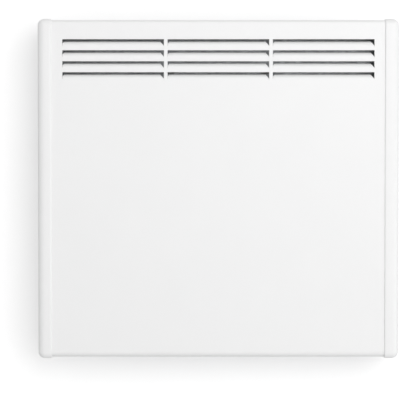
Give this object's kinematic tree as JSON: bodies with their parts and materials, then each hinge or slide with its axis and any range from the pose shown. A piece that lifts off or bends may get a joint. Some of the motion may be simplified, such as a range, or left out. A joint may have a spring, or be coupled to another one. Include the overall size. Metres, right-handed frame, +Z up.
{
  "type": "wall panel convector heater",
  "caption": "White wall-hung panel convector heater with a louvred steel front, moulded end caps with a control well, and a wall bracket it tilts on.",
  "frame": {"origin": "centre of the four wall-screw holes, on the plane of the wall", "axes": "+X along the wall to the right of someone who faces the heater, +Y into the wall, +Z up; the front panel faces -Y"},
  "size_m": [0.425, 0.0845, 0.4],
  "materials": {
    "powder_coat_white": "fine satin powder coat",
    "moulded_white": "satin moulded",
    "knob_white": "satin moulded",
    "rocker_black": "moulded, smooth",
    "switch_black": "moulded",
    "galvanised_steel": "galvanised",
    "spring_steel": "hardened, dull",
    "zinc_screws": "bright zinc plated",
    "sheath_steel": "heat-tinted stainless steel",
    "fin_aluminium": "mill finish",
    "reflector_aluminium": "bright rolled",
    "steatite": "glazed by firing, matt",
    "silicone_grey": "moulded",
    "rubber_black": "extruded",
    "nylon_black": "moulded",
    "nylon_white": "moulded",
    "phenolic_brown": "pressed",
    "brass": "turned",
    "copper": "drawn",
    "lead_brown": "extruded insulation",
    "lead_blue": "extruded insulation",
    "lead_green_yellow": "extruded insulation"
  },
  "bodies": {
    "bracket": {"wall_bracket": "galvanised_steel", "latch_clips": "spring_steel", "bracket_pads": "rubber_black"},
    "heater": {"front_panel": "powder_coat_white", "rear_panel": "galvanised_steel", "inlet_grille": "powder_coat_white", "end_cap_left": "moulded_white", "end_cap_right": "moulded_white", "heating_tube": "sheath_steel", "heating_fins": "fin_aluminium", "element_insulators": "steatite", "element_pins": "zinc_screws", "element_bushes": "silicone_grey", "element_bracket_left": "galvanised_steel", "element_bracket_right": "galvanised_steel", "element_rivets": "fin_aluminium", "air_guide": "reflector_aluminium", "thermostat_body": "phenolic_brown", "thermostat_nut": "brass", "switch_body": "switch_black", "switch_tabs": "brass", "cutout_body": "nylon_white", "cutout_capillary": "copper", "capillary_clips": "galvanised_steel", "terminal_block": "nylon_white", "terminal_screws": "brass", "cable_gland": "nylon_black", "gland_nut": "nylon_black", "earth_stud": "zinc_screws", "earth_nut": "brass", "live_leads": "lead_brown", "neutral_lead": "lead_blue", "earth_lead": "lead_green_yellow", "lead_clips": "nylon_white", "rear_screws": "zinc_screws", "cap_screws": "zinc_screws", "inlet_screws": "zinc_screws"},
    "knob": {"thermostat_knob": "knob_white", "thermostat_shaft": "brass"},
    "rocker": {"switch_rocker": "rocker_black"}
  },
  "joints": [
    {"name": "heater_tilt", "type": "hinge", "parent": "bracket", "child": "heater", "pos_m": [0, -0.03, -0.142], "axis": [1, 0, 0], "range_deg": [0, 27], "deforming": ["latch_clips"]},
    {"name": "thermostat_turn", "type": "hinge", "parent": "heater", "child": "knob", "pos_m": [0.206, -0.056, 0.086], "axis": [1, 0, 0], "range_deg": [-280, 0]},
    {"name": "switch_rock", "type": "hinge", "parent": "heater", "child": "rocker", "pos_m": [0.2025, -0.056, 0.03], "axis": [0, -1, 0], "range_deg": [0, 16]}
  ]
}
